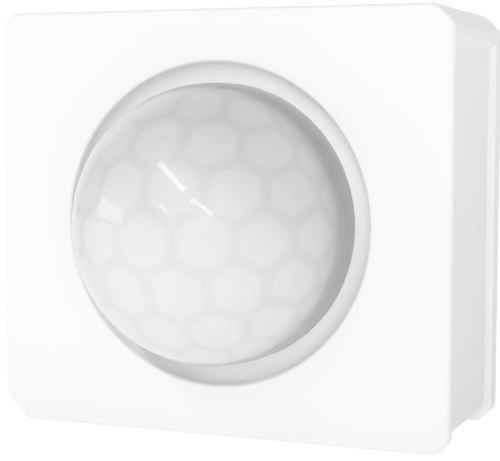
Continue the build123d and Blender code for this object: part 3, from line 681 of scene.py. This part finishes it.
def back_cover():
    """The rear cover: a full-outline plate with a locating rim, a cell rib and a pad pocket."""
    made = case_slab("back_cover", 0, PARTING + SEAM, REAR, front_round=SMALL_ROUND,
                     back_round=EDGE_ROUND)
    start = cover_low.y
    rim = case_slab("rim", SPIGOT_INSET, start, REAR - EXTRA, front_round=SMALL_ROUND)
    combine(rim, case_slab("rim bore", SPIGOT_INSET + SPIGOT_WALL, start - EXTRA, PARTING + SEAM),
            "DIFFERENCE")
    combine(made, rim, "UNION")
    rib = spun("rib", [(RIB - RIB_WALL, RIB_FRONT), (RIB, RIB_FRONT), (RIB, REAR - EXTRA),
                       (RIB - RIB_WALL, REAR - EXTRA)], turns=128)
    combine(made, rib, "UNION")
    for side in (-1, 1):
        bead = block("bead", (2 * BEAD_PROUD, BEAD_HEIGHT, BEAD_LENGTH),
                     (side * (WIDTH / 2 - SPIGOT_INSET), (start + PARTING) / 2, MID_Z))
        combine(made, bead, "UNION")
    notch = block("pry notch", (PRY_WIDTH, PRY_DEPTH, 2 * PRY_DEPTH),
                  (0, PARTING + SEAM, cover_low.z))
    combine(made, notch, "DIFFERENCE")
    size = pad_high - pad_low
    pocket = rounded_slab("pad pocket", size.x + 2 * PAD_GAP, size.z + 2 * PAD_GAP,
                          PAD_ROUND + PAD_GAP, REAR - PAD_POCKET, REAR + EXTRA)
    return combine(made, pocket, "DIFFERENCE")


def foam_pad():
    """The adhesive pad: a flat slab with rounded corners and barely softened edges."""
    size = pad_high - pad_low
    return rounded_slab("foam_pad", size.x, size.z, PAD_ROUND, pad_low.y, pad_high.y,
                        edge=0.06 * MM)


def coin_cell_can():
    """The cell's steel cup: rolled rim in front, rounded shoulder and a faint step behind."""
    rim, low, high = (can_high.x - can_low.x) / 2, can_low.y, can_high.y
    shoulder, skin, lip = CAN_SHOULDER, CELL_SKIN, CAN_LIP
    outline = ([(rim - lip, low), (rim - skin / 2, low)]
               + arc((rim - skin / 2, low + skin / 2), skin / 2, skin / 2, -90, 0, 4)[1:]
               + arc((rim - shoulder, high - shoulder), shoulder, shoulder, 0, 90, 8)
               + [(rim - CAN_STEP_OUT, high), (rim - CAN_STEP_IN, high - CAN_STEP),
                  (0, high - CAN_STEP), (0, high - skin), (rim - skin, high - skin),
                  (rim - skin, low + skin), (rim - lip, low + skin)])
    return spun("coin_cell_can", outline)


def coin_cell_cap():
    """The cell's smaller cup, set inside the rolled rim."""
    rim, low, high = (cap_high.x - cap_low.x) / 2, cap_low.y, cap_high.y
    edge, skin = CAP_EDGE, CELL_SKIN
    outline = ([(0, low)] + arc((rim - edge, low + edge), edge, edge, -90, 0, 8)
               + [(rim, high), (rim - skin, high), (rim - skin, low + skin + edge),
                  (rim - skin - edge, low + skin), (0, low + skin)])
    return spun("coin_cell_cap", outline)


# ---- build ------------------------------------------------------------------------------------
case_abs = moulded_abs("moulded white ABS", "F8F8F8", "F6F6F6")
button_abs = moulded_abs("button ABS", "EFEFEE", "ECECEB", 0.38)
settle(front_case(), "case", case_abs, ["front_housing"])
settle(dome_lens(), "case", milky_polythene(), ["fresnel_lens"], smooth=25)
settle(back_cover(), "cover", case_abs, ["rear_cover"])
settle(foam_pad(), "cover", closed_cell_foam(), ["adhesive_pad"])
settle(button_cap(), "button", button_abs, ["pairing_button"])
cell_middle = (0, can_high.y, MID_Z)
stainless = turned_steel("stamped stainless steel", "C9C9C7", "BDBDBB", cell_middle)
settle(coin_cell_can(), "coin_cell", stainless, ["cell_can"])
settle(coin_cell_cap(), "coin_cell", stainless, ["cell_cap"])

inner_white = plain_polymer("natural nylon", "E2E1DC", "DAD9D3", 0.5)
black_nylon = plain_polymer("black nylon", "1C1C1E", "151516", 0.45, grain_size=0.14 * MM)
chip_epoxy = plain_polymer("moulded epoxy", "1A1A1C", "131315", 0.55, size=1 * MM,
                           grain_size=0.06 * MM, height=0.004 * MM)
tin = drawn_metal("tinned copper", "C9C6BE", "B7B4AC", 0.34)
nickel = drawn_metal("nickel-plated strip", "C6C3BA", "B4B1A8", 0.28, along="Z")
drawn_steel = drawn_metal("nickel-plated drawn steel", "C4C3C0", "B2B1AE", 0.26, along="Y")
zinc = drawn_metal("bright zinc screw", "BFC2C6", "A7ABB0", 0.3, along="Y", line=0.05 * MM)
gilt = drawn_metal("gilded copper track", "D6A23E", "C4902F", 0.3, along="Z")
lid = drawn_metal("plated crystal lid", "C8C4B8", "B8B4A8", 0.22)
band_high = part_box("tantalum_capacitor")[1]
finishes = {
    inner_white: ["lens_retainer", "pir_spacer", "switch_plunger"],
    black_nylon: ["battery_holder", "switch_body"],
    chip_epoxy: ["radio_chip", "amplifier_chip"],
    tin: ["pir_leads", "amplifier_leads", "chip_end_caps", "switch_terminals"],
    nickel: ["positive_contact", "negative_contact", "switch_dome"],
    drawn_steel: ["pir_can", "pir_header", "switch_shield"],
    zinc: ["board_screws"],
    gilt: ["antenna_trace"],
    lid: ["main_crystal", "clock_crystal"],
    solder_masked_board(): ["circuit_board"],
    banded_tantalum(band_high.z - BAND_WIDTH): ["tantalum_capacitor"],
    clear_resin(): ["indicator_led"],
    dark_filter(): ["pir_window"],
    plain_polymer("fired pyroelectric ceramic", "C9C2AE", "B9B29E", 0.6, size=0.6 * MM):
        ["pir_element"],
    plain_polymer("fired capacitor ceramic", "9A7B55", "86683F", 0.5, size=0.8 * MM):
        ["ceramic_capacitors"],
    plain_polymer("resistor glaze", "121214", "1B1B1E", 0.25, size=0.5 * MM): ["chip_resistors"],
    plain_polymer("grey seal polymer", "2E2F31", "252628", 0.5): ["cell_gasket"],
    plain_polymer("pressed electrode powder", "2A2A2A", "1D1D1D", 0.9): ["cell_core"],
}
for material, names in finishes.items():
    for name in names:
        nodes[name].data.materials.clear()
        nodes[name].data.materials.append(material)


# ---- stage ------------------------------------------------------------------------------------
def pale_floor():
    """A pale glowing sheet, wide enough that its edge never shows. The camera sees it plain
    white; it lights the object less than that, and more in front than behind."""
    bm = bmesh.new()
    bmesh.ops.create_grid(bm, x_segments=1, y_segments=1, size=FLOOR_REACH)
    bmesh.ops.translate(bm, vec=(0, 0, cad_box[0].z - FLOOR_GAP), verts=bm.verts)
    floor = as_object("floor", bm)
    made, tree, shader, place = finish("white light table", "8C8C8C", 0.9)
    shader.inputs["Emission Color"].default_value = (1, 1, 1, 1)
    depth = add(tree, "SeparateXYZ", {"Vector": place}).outputs["Y"]
    glow = add(tree, "MapRange", {"Value": depth, "From Min": -GLOW_REACH, "From Max": 0.0,
                                  "To Min": GLOW_IN_FRONT, "To Max": GLOW_BEHIND})
    seen = add(tree, "LightPath").outputs["Is Camera Ray"]
    level = add(tree, "Mix", {0: seen, 2: glow.outputs["Result"], 3: SHEET_WHITE},
                data_type="FLOAT")
    tree.links.new(level.outputs[0], shader.inputs["Emission Strength"])
    floor.data.materials.append(made)


def studio_light():
    """Three broad soft lights round the object; the camera sees plain white behind it."""
    world = bpy.data.worlds.new("studio")
    world.use_nodes = True
    tree = world.node_tree
    towards = add(tree, "TexCoord").outputs["Generated"]
    total = 0.0
    for direction, spread, strength in SOFT_LIGHTS:
        unit = Vector(direction).normalized()
        facing = add(tree, "VectorMath", {0: towards, 1: unit}, operation="DOT_PRODUCT")
        part = add(tree, "Math", {0: facing.outputs["Value"], 1: 0.0}, operation="MAXIMUM")
        shaped = add(tree, "Math", {0: part.outputs["Value"], 1: spread}, operation="POWER")
        sized = add(tree, "Math", {0: shaped.outputs["Value"], 1: strength}, operation="MULTIPLY")
        total = add(tree, "Math", {0: total, 1: sized.outputs["Value"]},
                    operation="ADD").outputs["Value"]
    seen = add(tree, "LightPath").outputs["Is Camera Ray"]
    level = add(tree, "Mix", {0: seen, 2: total, 3: SHEET_WHITE}, data_type="FLOAT")
    tree.nodes["Background"].inputs["Color"].default_value = (1, 1, 1, 1)
    tree.links.new(level.outputs[0], tree.nodes["Background"].inputs["Strength"])
    bpy.context.scene.world = world


def soften_highlights(view):
    """A camera's soft shoulder: the brightest tones close up on white instead of clipping."""
    view.use_curve_mapping = True
    view.curve_mapping.white_level = [FULL_WHITE] * 3
    curve = view.curve_mapping.curves[3]
    for point in SHOULDER:
        curve.points.new(*point)
    view.curve_mapping.update()


def towards_lamp(bearing, height):
    """The unit vector to a bearing and a height in degrees."""
    bearing, height = math.radians(bearing), math.radians(height)
    level = math.cos(height)
    return Vector((level * math.sin(bearing), -level * math.cos(bearing), math.sin(height)))


def strip_lamp(name, start, end, width, brightness):
    """A long panel lamp that spans two directions seen from the lens."""
    start, end = towards_lamp(*start), towards_lamp(*end)
    towards = (start + end).normalized()
    along = (end - start).normalized()
    light = bpy.data.lights.new(name, "AREA")
    light.shape = "RECTANGLE"
    light.size = 2 * LAMP_DISTANCE * math.tan(start.angle(end) / 2)
    light.size_y = LAMP_DISTANCE * math.radians(width)
    light.energy = brightness * math.pi * light.size * light.size_y
    made = bpy.data.objects.new(name, light)
    turned = Matrix((along, towards.cross(along), towards)).transposed()
    made.location = Vector((0, FRONT, MID_Z)) + towards * LAMP_DISTANCE
    made.rotation_euler = turned.to_euler()
    made.visible_camera = False
    bpy.context.scene.collection.objects.link(made)


pale_floor()
studio_light()
for lamp in STRIP_LAMPS:
    strip_lamp(*lamp)
bpy.context.scene.view_settings.view_transform = "Standard"
soften_highlights(bpy.context.scene.view_settings)

camera = bpy.data.objects.new("camera", bpy.data.cameras.new("camera"))
camera.data.lens = CAMERA_LENS
camera.data.sensor_width = SENSOR_WIDTH
camera.data.clip_start, camera.data.clip_end = NEAREST, FURTHEST
camera.location = CAMERA_PLACE
turn = (Matrix.Rotation(CAMERA_TURN, 4, "Z") @ Matrix.Rotation(math.pi / 2 - CAMERA_DIP, 4, "X")
        @ Matrix.Rotation(CAMERA_ROLL, 4, "Z"))
camera.rotation_euler = turn.to_euler()
bpy.context.scene.collection.objects.link(camera)
bpy.context.scene.camera = camera

bpy.context.view_layer.update()
